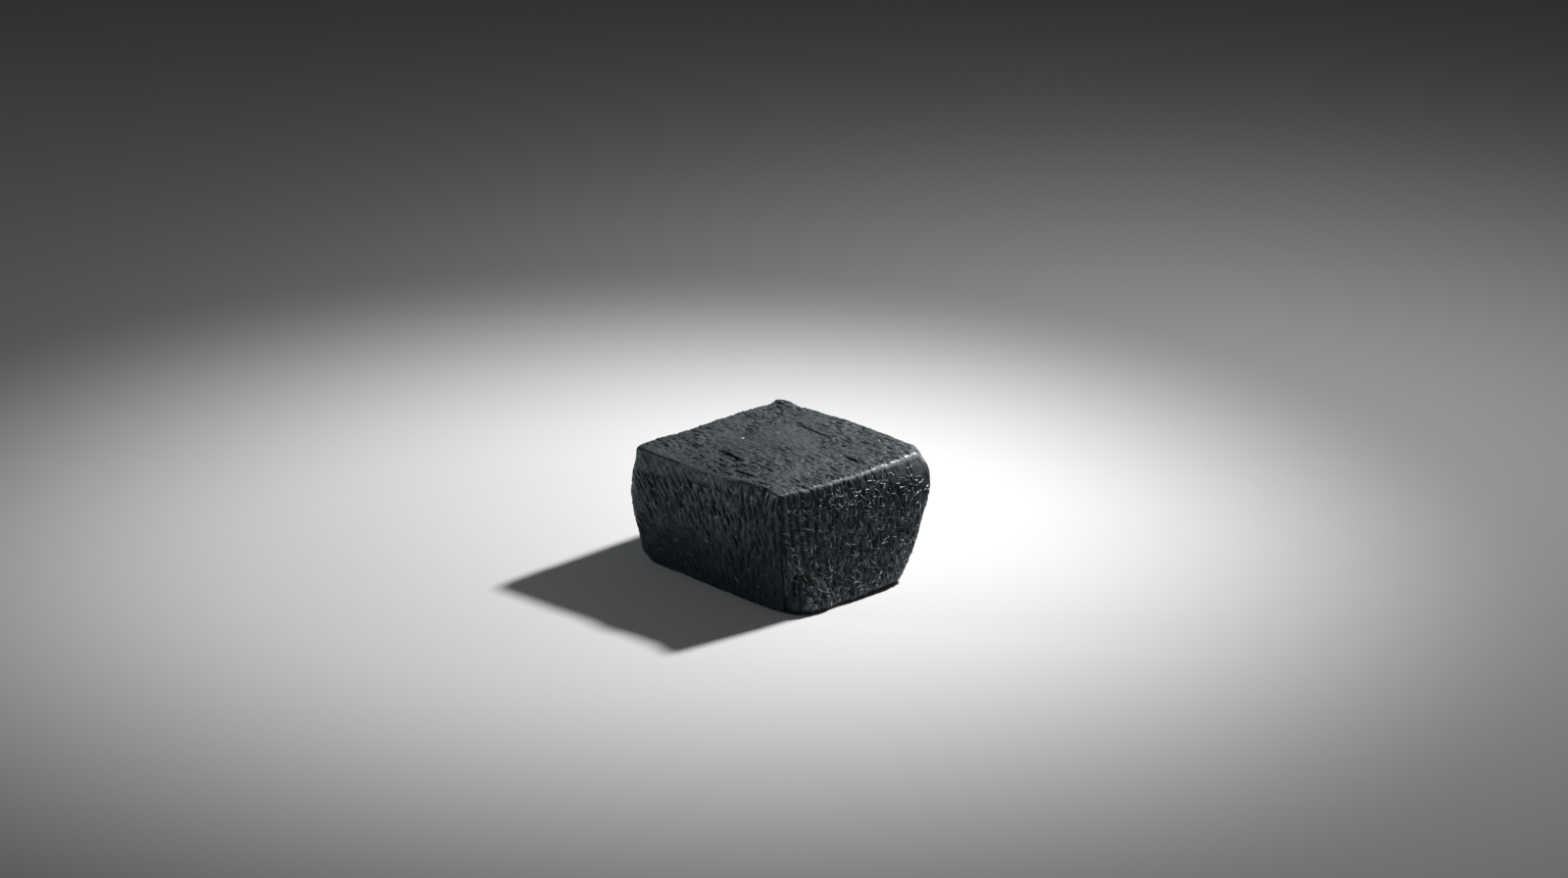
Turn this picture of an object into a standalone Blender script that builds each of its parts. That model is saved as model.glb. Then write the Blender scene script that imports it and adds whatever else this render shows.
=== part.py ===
"""Charcoal lump: one squarish block of charred wood that lies on its flat underside.

Metres, +Z up. The origin is on the surface that the lump rests on, under the middle of its outline.
The front face looks to -Y, the right face to +X. Lengths in the tables below are millimetres.
"""

import bmesh
import bpy
import numpy as np

MM = 0.001

# Driving sizes of the block before its corners are moved
LENGTH = 54.0
WIDTH = 50.0
HEIGHT = 31.2

# Spacing of the surface points before the relief is thinned out, and the share that is kept
POINT_SPACING = 0.85
KEPT_SHARE = 0.34

# Heights at which the four upright corners are given
LEVELS = (0.0, 8.0, 16.0, 24.0, HEIGHT)

# Plan positions (x, y) of the upright corners at those heights, as if their edges were sharp
FRONT_LEFT = ((-25.4, -25.4), (-26.7, -26.6), (-28.0, -27.6), (-28.1, -27.3), (-26.6, -25.8))
FRONT_RIGHT = ((28.4, -26.8), (27.8, -26.7), (27.2, -26.4), (26.9, -25.7), (26.6, -25.1))
BACK_RIGHT = ((34.0, 12.0), (34.1, 18.2), (32.8, 22.9), (31.2, 26.7), (28.0, 26.9))
BACK_LEFT = ((-24.5, 21.0), (-27.0, 24.5), (-28.2, 27.0), (-28.2, 28.2), (-27.0, 28.0))

# How far the middle of each face stands out of the straight line between its corners
FRONT_BULGE = (0.6, 1.2, 1.4, 0.9, 0.2)
RIGHT_BULGE = (3.6, 3.1, 2.6, 2.2, 1.3)
BACK_BULGE = (1.0, 1.8, 2.0, 2.2, 2.2)
LEFT_BULGE = (0.8, 1.6, 2.0, 1.4, 0.4)

# Rounding of the twelve edges, and the distance over which they blend where they meet
EDGE_RADII = {
    "top front": 0.7, "top right": 1.1, "top back": 1.4, "top left": 1.0,
    "foot front": 1.8, "foot right": 1.8, "foot back": 3.0, "foot left": 3.5,
    "front left": 3.6, "front right": 0.7, "back right": 2.8, "back left": 2.4,
}
EDGE_BLEND = 1.0

# Local swellings and dents of the outline: centre, radius and how far the surface moves out
SWELLINGS = {
    "foot of the right face, by the corner": ((32.5, -19.0, 2.0), 9.0, 2.1),
    "foot of the right face, further on": ((34.0, -8.5, 1.0), 9.0, 0.9),
    "back left knob": ((-24.2, 27.2, HEIGHT), 4.5, 0.6),
    "raised top by the front left corner": ((-26.5, -20.0, HEIGHT), 10.0, 0.5),
    "undercut front left foot": ((-25.8, -25.6, -2.5), 6.5, -3.2),
    "worn top of the back right corner": ((28.0, 27.4, HEIGHT), 4.5, -1.0),
}
# Share of a swelling's radius that moves by the full amount
SWELLING_CORE = 0.2

# The chip along the top of the front face: middle, half length, height, depth and its even share
CHIP_MIDDLE = 16.0
CHIP_HALF_LENGTH = 10.5
CHIP_HEIGHT = 3.6
CHIP_DEPTH = 1.5
CHIP_EVEN_SHARE = 0.2
# Width of the strip of the top that moves back with the chip
CHIP_STRIP = 6.0

# Long cracks in the top face: both ends (x, y), half width and depth
TOP_CRACKS = (
    ((-10.3, -11.6), (1.8, -13.4), 0.55, 0.9),
    ((3.8, -19.1), (10.8, -19.5), 0.50, 0.8),
    ((-22.9, 1.0), (-17.6, 1.8), 0.45, 0.6),
    ((-19.0, -13.4), (-14.2, -14.0), 0.40, 0.5),
    ((-8.6, 17.0), (3.8, 16.2), 0.60, 0.9),
    ((15.2, 9.1), (23.2, 7.8), 0.55, 0.8),
    ((15.6, 17.0), (19.6, 16.6), 0.40, 0.5),
    ((15.4, 0.8), (20.0, 0.1), 0.40, 0.5),
    ((2.4, -12.3), (9.6, -13.1), 0.40, 0.5),
)
# Where a crack's wall starts and ends, in half widths, and how ragged the walls are
CRACK_WALL = (0.2, 1.6)
CRACK_RAGGEDNESS = 0.35
RAGGED_LENGTH = 1.7

# Short cracks strewn over the top, along X: number, field of their middles, half length, slant,
# half width and depth
DASH_COUNT = 46
DASH_FIELD = ((-25.0, -22.0), (26.0, 24.0))
DASH_HALF_LENGTH = (1.0, 2.6)
DASH_SLANT = 0.12
DASH_HALF_WIDTH = 0.36
DASH_DEPTH = (0.3, 0.6)

# Upright grain of the sides: width and length of its cells, depth of the furrows between them,
# how unevenly the cells stand out, how far a furrow reaches into its cell and how the furrows wander
GRAIN_WIDTH = 2.5
GRAIN_LENGTH = 8.0
GRAIN_DEPTH = 0.65
GRAIN_STEP = 0.2
FURROW_REACH = 0.5
GRAIN_WANDER = 0.5
WANDER_LENGTH = 6.0
# How much the grain leans at the left end of the front face, and at its right end
LEAN_LEFT = 0.55
LEAN_RIGHT = 0.08

# The smoother band under the top edge of the front face: height of its lower edge at both ends (x, z),
# how softly it ends and how much of the grain is left in it
BAND_LEFT = (-27.0, 25.3)
BAND_RIGHT = (13.0, 28.2)
BAND_FADE = 1.5
BAND_GRAIN = 0.35

# Flutes near the front right corner: spacing, depth and how far they reach along the right face,
# the heights between which they rise, how they wander and how much of the grain stays between them
FLUTE_SPACING = 2.3
FLUTE_DEPTH = 0.9
FLUTE_REACH = 13.0
FLUTE_FULL_SHARE = 0.6
FLUTE_RISE = (9.0, 18.0)
FLUTE_WANDER = 0.6
FLUTE_WANDER_LENGTHS = (5.0, 9.0)
GRAIN_IN_FLUTES = 0.3

# Slow unevenness of every face, and of the top along and across its grain
WAVE_LENGTH = 11.0
WAVE_HEIGHT = 0.45
TOP_GRAIN = (7.0, 2.4)
TOP_GRAIN_DEPTH = 0.22

# The underside: half size of the flat patch in its middle, its margin, and the pits around it
FLAT_PATCH = 9.0
PATCH_MARGIN = 3.0
PIT_DEPTH = 0.5
PIT_LENGTHS = (4.5, 2.2)
FINE_PIT_SHARE = 0.3
# Upward part of the normal between which the slow unevenness leaves the underside
FOOT_NORMALS = (-0.95, -0.3)

# Groove along the upright front right corner, and its distance from that corner
CORNER_GROOVE_WIDTH = 0.7
CORNER_GROOVE_DEPTH = 0.8
CORNER_GROOVE_OFFSET = 0.9

# How sharply the reliefs of two faces change over at the edge between them
FACE_SHARPNESS = 4

CHAR_COLOUR = (0.035, 0.038, 0.040, 1.0)
CHAR_ROUGHNESS = 0.75

SEED = 7


def smooth_step(value, start, end):
    """Rises from 0 at start to 1 at end, with no corner at either."""
    t = np.clip((value - start) / (end - start), 0.0, 1.0)
    return t * t * (3.0 - 2.0 * t)


def lattice_random(cell, seed):
    """A repeatable random number from 0 to 1 for each whole-numbered cell."""
    mixed = np.full(len(cell), seed * 2654435761 % 4294967296, dtype=np.uint64)
    for axis, prime in enumerate((73856093, 19349663, 83492791)[: cell.shape[1]]):
        mixed ^= (cell[:, axis].astype(np.int64) * prime).astype(np.uint64) & 0xFFFFFFFF
        mixed = (mixed ^ (mixed >> 15)) * 2246822519 & 0xFFFFFFFF
        mixed = (mixed ^ (mixed >> 13)) * 3266489917 & 0xFFFFFFFF
    return ((mixed ^ (mixed >> 16)) & 0xFFFFFF) / float(0x1000000)


def value_noise(points, seed):
    """Smooth noise from -1 to 1 with features about one unit across."""
    base = np.floor(points)
    blend = points - base
    blend = blend * blend * (3.0 - 2.0 * blend)
    total = np.zeros(len(points))
    for corner in np.ndindex(*(2,) * points.shape[1]):
        offset = np.array(corner)
        weight = np.prod(np.where(offset, blend, 1.0 - blend), axis=1)
        total += weight * lattice_random(base + offset, seed)
    return 2.0 * total - 1.0


def scattered_cells(points, seed):
    """Cells about one unit across: the distance to their border, and each one's own level, -1 to 1."""
    base = np.floor(points)
    nearest = np.full(len(points), np.inf)
    second = np.full(len(points), np.inf)
    level = np.zeros(len(points))
    for step in np.ndindex(3, 3):
        cell = base + np.array(step) - 1
        heart = np.stack([lattice_random(cell, seed), lattice_random(cell, seed + 1)], axis=1)
        away = np.linalg.norm(points - cell - heart, axis=1)
        level = np.where(away < nearest, 2.0 * lattice_random(cell, seed + 2) - 1.0, level)
        second = np.minimum(second, np.maximum(nearest, away))
        nearest = np.minimum(nearest, away)
    return second - nearest, level


def box_points():
    """An evenly divided box, as an edit mesh and its points in millimetres."""
    block = bmesh.new()
    bmesh.ops.create_cube(block, size=1.0)
    for axis, size in enumerate((LENGTH, WIDTH, HEIGHT)):
        along = [e for e in block.edges if abs(e.verts[0].co[axis] - e.verts[1].co[axis]) > 0.5]
        bmesh.ops.subdivide_edges(block, edges=along, cuts=round(size / POINT_SPACING) - 1)
    block.verts.ensure_lookup_table()
    points = np.array([v.co[:] for v in block.verts])
    return block, points * (LENGTH, WIDTH, HEIGHT)


def edge_radius(points):
    """Rounding radius at each point: that of the nearest edges of the box."""
    half = np.array((LENGTH, WIDTH, HEIGHT)) / 2
    sides = {
        "left": (0, -1), "right": (0, 1),
        "front": (1, -1), "back": (1, 1),
        "foot": (2, -1), "top": (2, 1),
    }
    total = np.zeros(len(points))
    weights = np.zeros(len(points))
    for name, radius in EDGE_RADII.items():
        first, second = (sides[word] for word in name.split())
        away = np.hypot(*(points[:, axis] - sign * half[axis] for axis, sign in (first, second)))
        weight = 1.0 / (away**2 + EDGE_BLEND**2) ** 2
        total += weight * radius
        weights += weight
    return total / weights


def round_edges(points):
    """Moves the box's points on to the same box with rounded edges."""
    radius = edge_radius(points)[:, None]
    half = np.array((LENGTH, WIDTH, HEIGHT)) / 2
    inner = np.clip(points, -(half - radius), half - radius)
    outward = points - inner
    return inner + outward * radius / np.maximum(np.linalg.norm(outward, axis=1, keepdims=True), 1e-9)


def at_height(values, height):
    """Smoothly joined values of a table that is given at LEVELS."""
    values = np.array(values)
    slope = np.gradient(values, LEVELS, axis=0)
    lower = np.clip(np.searchsorted(LEVELS, height, side="right") - 1, 0, len(LEVELS) - 2)
    span = np.diff(LEVELS)[lower]
    t = np.clip((height - np.array(LEVELS)[lower]) / span, 0.0, 1.0)
    if values.ndim == 2:
        t, span = t[:, None], span[:, None]
    rise = t * t * (3.0 - 2.0 * t)
    leaving = (t**3 - 2.0 * t**2 + t) * span
    arriving = (t**3 - t**2) * span
    between = values[lower] * (1.0 - rise) + values[lower + 1] * rise
    return between + slope[lower] * leaving + slope[lower + 1] * arriving


def lean_block(points):
    """Carries the rounded box's points to the block's leaning corners and bulging faces."""
    u = points[:, 0] / (LENGTH / 2)
    v = points[:, 1] / (WIDTH / 2)
    height = points[:, 2] + HEIGHT / 2
    right = ((1.0 + u) / 2)[:, None]
    back = ((1.0 + v) / 2)[:, None]
    front_line = at_height(FRONT_LEFT, height) * (1.0 - right) + at_height(FRONT_RIGHT, height) * right
    back_line = at_height(BACK_LEFT, height) * (1.0 - right) + at_height(BACK_RIGHT, height) * right
    plan = front_line * (1.0 - back) + back_line * back
    across_x = 1.0 - np.abs(v) ** 3
    across_y = 1.0 - np.abs(u) ** 3
    plan[:, 0] += at_height(RIGHT_BULGE, height) * across_x * right[:, 0]
    plan[:, 0] -= at_height(LEFT_BULGE, height) * across_x * (1.0 - right[:, 0])
    plan[:, 1] += at_height(BACK_BULGE, height) * across_y * back[:, 0]
    plan[:, 1] -= at_height(FRONT_BULGE, height) * across_y * (1.0 - back[:, 0])
    return np.column_stack([plan, height])


def swellings(points):
    """Outward displacement of all local swellings and dents."""
    outward = np.zeros(len(points))
    for centre, radius, height in SWELLINGS.values():
        away = np.linalg.norm(points - centre, axis=1) / radius
        outward += height * (1.0 - smooth_step(away, SWELLING_CORE, 1.0))
    return outward


def top_chip(points, normals):
    """How far the chip takes the top of the front face back."""
    along = np.abs(points[:, 0] - CHIP_MIDDLE) / CHIP_HALF_LENGTH
    rise = smooth_step(points[:, 2], HEIGHT - CHIP_HEIGHT, HEIGHT)
    strip = smooth_step(points[:, 1], -WIDTH / 2 + CHIP_STRIP, -WIDTH / 2)
    near_front = np.maximum(np.clip(-normals[:, 1], 0.0, 1.0), strip)
    return CHIP_DEPTH * rise * near_front * (1.0 - smooth_step(along, CHIP_EVEN_SHARE, 1.0))


def crack(plan, ragged, start, end, half_width, depth):
    """A V-shaped crack between two plan points, ragged and tapering to both ends."""
    start, end = np.array(start), np.array(end)
    line = end - start
    share = np.clip((plan - start) @ line / (line @ line), 0.0, 1.0)
    away = np.linalg.norm(plan - start - share[:, None] * line, axis=1) / half_width
    taper = np.sqrt(np.clip(4.0 * share * (1.0 - share), 0.0, 1.0))
    return -depth * taper * (1.0 - smooth_step(away + ragged, *CRACK_WALL))


def top_dashes():
    """The short cracks of the top, spread by a seeded draw and nearly along X."""
    draw = np.random.default_rng(SEED)
    for _ in range(DASH_COUNT):
        middle = draw.uniform(*DASH_FIELD)
        half = draw.uniform(*DASH_HALF_LENGTH) * np.array((1.0, draw.normal(0.0, DASH_SLANT)))
        yield middle - half, middle + half, DASH_HALF_WIDTH, draw.uniform(*DASH_DEPTH)


def top_relief(points):
    """Flat top with shallow grain along X, the long cracks and the short ones."""
    plan = points[:, :2]
    ragged = CRACK_RAGGEDNESS * value_noise(plan / RAGGED_LENGTH, SEED + 40)
    carved = TOP_GRAIN_DEPTH * value_noise(plan / TOP_GRAIN, SEED + 10)
    for one in (*TOP_CRACKS, *top_dashes()):
        carved = np.minimum(carved, crack(plan, ragged, *one))
    return carved


def grain_furrows(along, height, seed):
    """Upright cells of charred grain with narrow furrows between them."""
    wander = GRAIN_WANDER * value_noise(np.column_stack([along, height]) / WANDER_LENGTH, seed + 3)
    cells = np.column_stack([along / GRAIN_WIDTH + wander, height / GRAIN_LENGTH])
    gap, level = scattered_cells(cells, seed)
    return (GRAIN_DEPTH + GRAIN_STEP * level) * smooth_step(gap, 0.0, FURROW_REACH) - GRAIN_DEPTH


def grain_left(points):
    """Share of the grain that is left: all of it but for the smoother band under the front's top edge."""
    lower_edge = np.interp(points[:, 0], *zip(BAND_LEFT, BAND_RIGHT))
    in_band = smooth_step(points[:, 2], lower_edge - BAND_FADE / 2, lower_edge + BAND_FADE / 2)
    in_band *= 1.0 - smooth_step(points[:, 0], BAND_RIGHT[0], BAND_RIGHT[0] + 2.0 * BAND_FADE)
    return 1.0 - (1.0 - BAND_GRAIN) * in_band * (points[:, 1] < 0)


def front_relief(points):
    """Grain of the front and back faces: leaning at the left, upright at the right."""
    lean = np.interp(points[:, 0], (-LENGTH / 2, LENGTH / 2), (LEAN_LEFT, LEAN_RIGHT))
    return grain_furrows(points[:, 0] + lean * points[:, 2], points[:, 2], SEED + 20) * grain_left(points)


def side_relief(points):
    """Grain of the right and left faces, with deep flutes by the front right corner."""
    y, z = points[:, 1], points[:, 2]
    from_corner = y + WIDTH / 2
    reach = 1.0 - smooth_step(from_corner, FLUTE_FULL_SHARE * FLUTE_REACH, FLUTE_REACH)
    reach *= smooth_step(z, *FLUTE_RISE) * (points[:, 0] > 0)
    wander = FLUTE_WANDER * value_noise(np.column_stack([y, z]) / FLUTE_WANDER_LENGTHS, SEED + 33)
    flutes = -FLUTE_DEPTH * (0.5 + 0.5 * np.cos(2 * np.pi * (from_corner / FLUTE_SPACING + wander))) ** 2
    return grain_furrows(y, z, SEED + 30) * (1.0 - (1.0 - GRAIN_IN_FLUTES) * reach) + flutes * reach


def corner_groove(points):
    """The narrow upright groove just right of the front right corner."""
    corner = at_height(FRONT_RIGHT, points[:, 2])
    away = np.abs(points[:, 1] - corner[:, 1] - CORNER_GROOVE_OFFSET)
    return -CORNER_GROOVE_DEPTH * (1.0 - smooth_step(away, 0.0, CORNER_GROOVE_WIDTH)) * (points[:, 0] > 0)


def underside_relief(points):
    """Shallow pits, with an even patch left in the middle. Values above nought are cut off."""
    coarse, fine = (value_noise(points[:, :2] / size, SEED + 50 + n) for n, size in enumerate(PIT_LENGTHS))
    off_patch = smooth_step(np.max(np.abs(points[:, :2]), axis=1), FLAT_PATCH, FLAT_PATCH + PATCH_MARGIN)
    return np.minimum(PIT_DEPTH * (coarse + FINE_PIT_SHARE * fine), 0.0) * off_patch


def relief(points, normals):
    """Displacement along the normal, blended from the reliefs of the faces by the way the surface looks."""
    weights = np.clip(np.abs(normals), 0.0, 1.0) ** FACE_SHARPNESS
    weights /= weights.sum(axis=1, keepdims=True)
    upward = np.where(normals[:, 2] > 0, top_relief(points), underside_relief(points))
    clear_of_foot = smooth_step(normals[:, 2], *FOOT_NORMALS)
    waves = WAVE_HEIGHT * value_noise(points / WAVE_LENGTH, SEED) * clear_of_foot
    return (
        weights[:, 0] * (side_relief(points) + corner_groove(points))
        + weights[:, 1] * front_relief(points)
        + weights[:, 2] * upward
        + waves
    )


def point_normals(block, points):
    """Sets the mesh to the points and gives its normals there."""
    for vertex, place in zip(block.verts, points):
        vertex.co = place
    block.normal_update()
    return np.array([v.normal[:] for v in block.verts])


def lump_mesh():
    """The lump's surface in metres: leaned and rounded block, local swellings, chip, then relief."""
    block, points = box_points()
    points = lean_block(round_edges(points))
    normals = point_normals(block, points)
    points += normals * swellings(points)[:, None]
    points[:, 1] += top_chip(points, normals)
    normals = point_normals(block, points)
    points += normals * relief(points, normals)[:, None]
    points[:, 2] = np.maximum(points[:, 2], 0.0)
    centre = (points.max(axis=0) + points.min(axis=0)) / 2
    points[:, :2] -= centre[:2]
    point_normals(block, points * MM)
    mesh = bpy.data.meshes.new("charcoal_lump")
    block.to_mesh(mesh)
    block.free()
    mesh.shade_smooth()
    return mesh


def charcoal():
    """Matte, cool dark grey char."""
    material = bpy.data.materials.new("charcoal")
    material.use_nodes = True
    surface = material.node_tree.nodes["Principled BSDF"]
    surface.inputs["Base Color"].default_value = CHAR_COLOUR
    surface.inputs["Roughness"].default_value = CHAR_ROUGHNESS
    return material


def clear_scene():
    """Removes what the new file starts with."""
    for item in list(bpy.data.objects):
        bpy.data.objects.remove(item)


def main():
    clear_scene()
    parts = bpy.data.collections.new("charcoal lump")
    bpy.context.scene.collection.children.link(parts)
    lump = bpy.data.objects.new("charcoal_lump", lump_mesh())
    lump.data.materials.append(charcoal())
    thinning = lump.modifiers.new("thinning", "DECIMATE")
    thinning.ratio = KEPT_SHARE
    parts.objects.link(lump)


main()
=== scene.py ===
"""The looks of the charcoal lump: its finely grained surface, char material, floor, lights and camera.

The lump's form is worked out here by the same tables as the solid that it stands for, with finer relief
and three wider cracks in the top. Lengths are millimetres unless a comment says metres.
"""

import math

import bmesh
import bpy
import numpy as np
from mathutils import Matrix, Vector
from mathutils.bvhtree import BVHTree


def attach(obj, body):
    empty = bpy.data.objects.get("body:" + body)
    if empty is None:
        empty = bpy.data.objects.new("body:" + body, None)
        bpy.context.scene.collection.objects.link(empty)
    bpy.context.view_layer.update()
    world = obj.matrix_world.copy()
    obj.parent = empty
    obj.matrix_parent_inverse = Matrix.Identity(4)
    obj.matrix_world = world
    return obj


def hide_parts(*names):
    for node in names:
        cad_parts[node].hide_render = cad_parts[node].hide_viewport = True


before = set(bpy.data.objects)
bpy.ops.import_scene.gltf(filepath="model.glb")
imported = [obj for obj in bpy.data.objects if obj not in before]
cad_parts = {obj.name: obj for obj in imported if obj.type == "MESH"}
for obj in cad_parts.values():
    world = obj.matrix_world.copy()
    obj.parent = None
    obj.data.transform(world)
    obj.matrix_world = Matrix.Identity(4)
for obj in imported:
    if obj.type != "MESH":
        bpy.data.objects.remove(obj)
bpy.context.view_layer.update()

MM = 0.001

# Driving sizes of the block before its corners are moved
LENGTH = 54.0
WIDTH = 50.0
HEIGHT = 31.2

# Spacing of the surface points, and the most triangles that the finished surface keeps
POINT_SPACING = 0.22
MOST_TRIANGLES = 180_000

# Heights at which the four upright corners are given
LEVELS = (0.0, 8.0, 16.0, 24.0, HEIGHT)

# Plan positions (x, y) of the upright corners at those heights, as if their edges were sharp
FRONT_LEFT = ((-25.4, -25.4), (-26.7, -26.6), (-28.0, -27.6), (-28.1, -27.3), (-26.6, -25.8))
FRONT_RIGHT = ((28.4, -26.8), (27.8, -26.7), (27.2, -26.4), (26.9, -25.7), (26.6, -25.1))
BACK_RIGHT = ((34.0, 12.0), (34.1, 18.2), (32.8, 22.9), (31.2, 26.7), (28.0, 26.9))
BACK_LEFT = ((-24.5, 21.0), (-27.0, 24.5), (-28.2, 27.0), (-28.2, 28.2), (-27.0, 28.0))

# How far the middle of each face stands out of the straight line between its corners, at those heights,
# and how flat that bulge is on its way to the corners
FRONT_BULGE = (0.6, 1.2, 1.4, 0.9, 0.2)
RIGHT_BULGE = (3.6, 3.1, 2.6, 2.2, 1.3)
BACK_BULGE = (1.0, 1.8, 2.0, 2.2, 2.2)
LEFT_BULGE = (0.8, 1.6, 2.0, 1.4, 0.4)
BULGE_POWER = 3

# Rounding of the twelve edges, and the distance over which they blend where they meet
EDGE_RADII = {
    "top front": 0.7, "top right": 1.1, "top back": 1.4, "top left": 1.0,
    "foot front": 1.8, "foot right": 1.8, "foot back": 3.0, "foot left": 3.5,
    "front left": 3.6, "front right": 0.7, "back right": 2.8, "back left": 2.4,
}
EDGE_BLEND = 1.0

# Local swellings and dents of the outline: centre, radius and how far the surface moves out
SWELLINGS = {
    "foot of the right face, by the corner": ((32.5, -19.0, 2.0), 9.0, 2.1),
    "foot of the right face, further on": ((34.0, -8.5, 1.0), 9.0, 0.9),
    "back left knob": ((-24.2, 27.2, HEIGHT), 4.5, 0.6),
    "raised top by the front left corner": ((-26.5, -20.0, HEIGHT), 10.0, 0.5),
    "undercut front left foot": ((-25.8, -25.6, -2.5), 6.5, -3.2),
    "worn top of the back right corner": ((28.0, 27.4, HEIGHT), 4.5, -1.0),
}
# Share of a swelling's radius that moves by the full amount
SWELLING_CORE = 0.2

# The chip along the top of the front face: middle, half length, height, depth and its even share
CHIP_MIDDLE = 16.0
CHIP_HALF_LENGTH = 10.5
CHIP_HEIGHT = 3.6
CHIP_DEPTH = 1.5
CHIP_EVEN_SHARE = 0.2
# Width of the strip of the top that moves back with the chip
CHIP_STRIP = 6.0

# Long cracks in the top face: both ends (x, y), half width and depth
TOP_CRACKS = (
    ((-10.3, -11.6), (1.8, -13.4), 0.50, 1.2),
    ((3.8, -19.1), (10.8, -19.5), 0.48, 1.1),
    ((-22.9, 1.0), (-17.6, 1.8), 0.28, 0.5),
    ((-19.0, -13.4), (-14.2, -14.0), 0.26, 0.5),
    ((-8.6, 17.0), (3.8, 16.2), 0.38, 0.9),
    ((15.2, 9.1), (23.2, 7.8), 0.46, 1.0),
    ((15.6, 17.0), (19.6, 16.6), 0.28, 0.5),
    ((15.4, 0.8), (20.0, 0.1), 0.28, 0.5),
    ((2.4, -12.3), (9.6, -13.1), 0.26, 0.5),
)
# Where a crack's wall starts and ends, in half widths, how ragged it is and how much it wanders
CRACK_WALL = (0.2, 1.6)
CRACK_RAGGEDNESS = 0.6
RAGGED_LENGTH = 0.9
CRACK_WANDER = 0.45
CRACK_WANDER_LENGTH = 3.0

# Layers of furrowed grain: cell width, cell length, furrow depth, cell unevenness
FRONT_GRAIN = (
    (2.5, 8.0, 0.18, 0.12),
    (1.15, 4.6, 0.14, 0.09),
)
SIDE_GRAIN = (
    (2.3, 6.5, 0.18, 0.16),
    (1.1, 3.4, 0.13, 0.10),
)
TOP_GRAIN = (
    (0.9, 3.2, 0.07, 0.05),
    (0.45, 1.1, 0.05, 0.04),
)
# Share of a cell that its furrow's wall takes, how far the cells wander across the grain, over how many
# cell widths, and the share of it that they wander along the grain
FURROW_REACH = 0.4
GRAIN_WANDER = 0.5
GRAIN_WANDER_LENGTH = 2.4
GRAIN_WANDER_ALONG = 0.5

# Layers of short slits along the grain: lattice spacing across and along, half width, half length, depth
FRONT_SLITS = (
    ((1.8, 4.2), 0.34, 2.5, 1.00),
    ((1.0, 2.6), 0.25, 1.6, 0.70),
)
SIDE_SLITS = (
    ((1.7, 4.0), 0.34, 2.4, 0.75),
    ((0.95, 2.2), 0.25, 1.3, 0.50),
)
TOP_SLITS = (
    ((1.5, 3.6), 0.50, 2.0, 0.62),
    ((0.95, 2.2), 0.36, 1.2, 0.46),
)
# Most that a slit slants to its side, and the shortest one's share of the half length
SLIT_SLANTS = {"front": 0.30, "side": 0.38, "top": 0.12}
SLIT_SHORTEST = 0.4
# Size of the patches in which the top has more slits, and the levels of their noise between which they grow
SLIT_PATCH_SIZE = 8.0
SLIT_PATCH_LEVELS = (-1.2, 0.1)
# The strip by the top's front edge in which its slits die out, and the spot where they thin out, with the
# share of its radius that has none
TOP_CLEAR_STRIP = (-25.5, -22.0)
SMOOTH_SPOT = (-4.0, 9.0)
SMOOTH_SPOT_RADIUS = 12.0
SMOOTH_SPOT_CORE = 0.1

# How much the grain leans at the left end of the front face, and at its right end
LEAN_LEFT = 1.25
LEAN_RIGHT = 0.10

# The smoother band under the top edge of the front face: height of its lower edge at both ends (x, z),
# how softly it ends below and at its right end, and how much of the grain is left in it
BAND_LEFT = (-27.0, 25.3)
BAND_RIGHT = (13.0, 28.2)
BAND_FADE = 3.0
BAND_END_FADE = 6.0
BAND_GRAIN = 0.3
# The broken crack along that lower edge, and the levels of the noise between which it shows
BAND_CRACK_WIDTH = 0.4
BAND_CRACK_DEPTH = 0.45
BAND_CRACK_WANDER = 0.6
BAND_CRACK_LEVELS = (-0.6, 0.2)

# Flutes near the front right corner: spacing, depth, how far they reach along the right face and the share
# of that reach in which they are full, the heights between which they rise, how they wander, how sharp
# they are, and the share of the other grain that is left between them
FLUTE_SPACING = 2.3
FLUTE_DEPTH = 0.65
FLUTE_REACH = 13.0
FLUTE_FULL_SHARE = 0.6
FLUTE_RISE = (9.0, 18.0)
FLUTE_WANDER = 0.6
FLUTE_WANDER_LENGTHS = (5.0, 9.0)
FLUTE_SHARPNESS = 4
GRAIN_IN_FLUTES = 0.6

# The calmer upper back part of the right and left faces: where it begins along and upwards, and the shares
# of the grain and of the crests' paleness that are left in it; the lost paleness is painted shade
CALM_ALONG = (-10.0, 12.0)
CALM_HEIGHTS = (15.0, 26.0)
CALM_GRAIN = 0.35
CALM_SHADED_CREST = 0.25

# Heights between which the front face goes from a smooth foot, darkened by painted shade, to full grain,
# and what the foot keeps
SHADED_FOOT_HEIGHTS = (0.0, 24.0)
SHADED_FOOT_SHARE = 0.25

# Slow unevenness of every face, and of the top along and across its grain
WAVE_LENGTH = 11.0
WAVE_HEIGHT = 0.45
TOP_WAVE_LENGTHS = (7.0, 2.4)
TOP_WAVE_HEIGHT = 0.14

# Granules all over, and finer ones among them
GRANULE_SIZE = 0.55
GRANULE_HEIGHT = 0.05
FINE_GRANULE_SIZE = 0.275
FINE_GRANULE_SHARE = 0.6
# How much higher the granules are round the back left corner of the top, with the share of that spot's
# radius that has the full height, and how far down it reaches
ROUGH_SPOT = (-22.0, 22.0)
ROUGH_SPOT_RADIUS = 17.0
ROUGH_SPOT_CORE = 0.2
ROUGH_SPOT_GAIN = 1.8
ROUGH_SPOT_REACH = 4.0

# The underside: half size of the flat patch in its middle, its margin, and the pits around it
FLAT_PATCH = 9.0
PATCH_MARGIN = 3.0
PIT_DEPTH = 0.5
PIT_LENGTHS = (4.5, 2.2)
FINE_PIT_SHARE = 0.3
# Upward part of the normal between which the slow unevenness and the granules die out on the underside
FOOT_NORMALS = (-0.95, -0.3)

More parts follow.
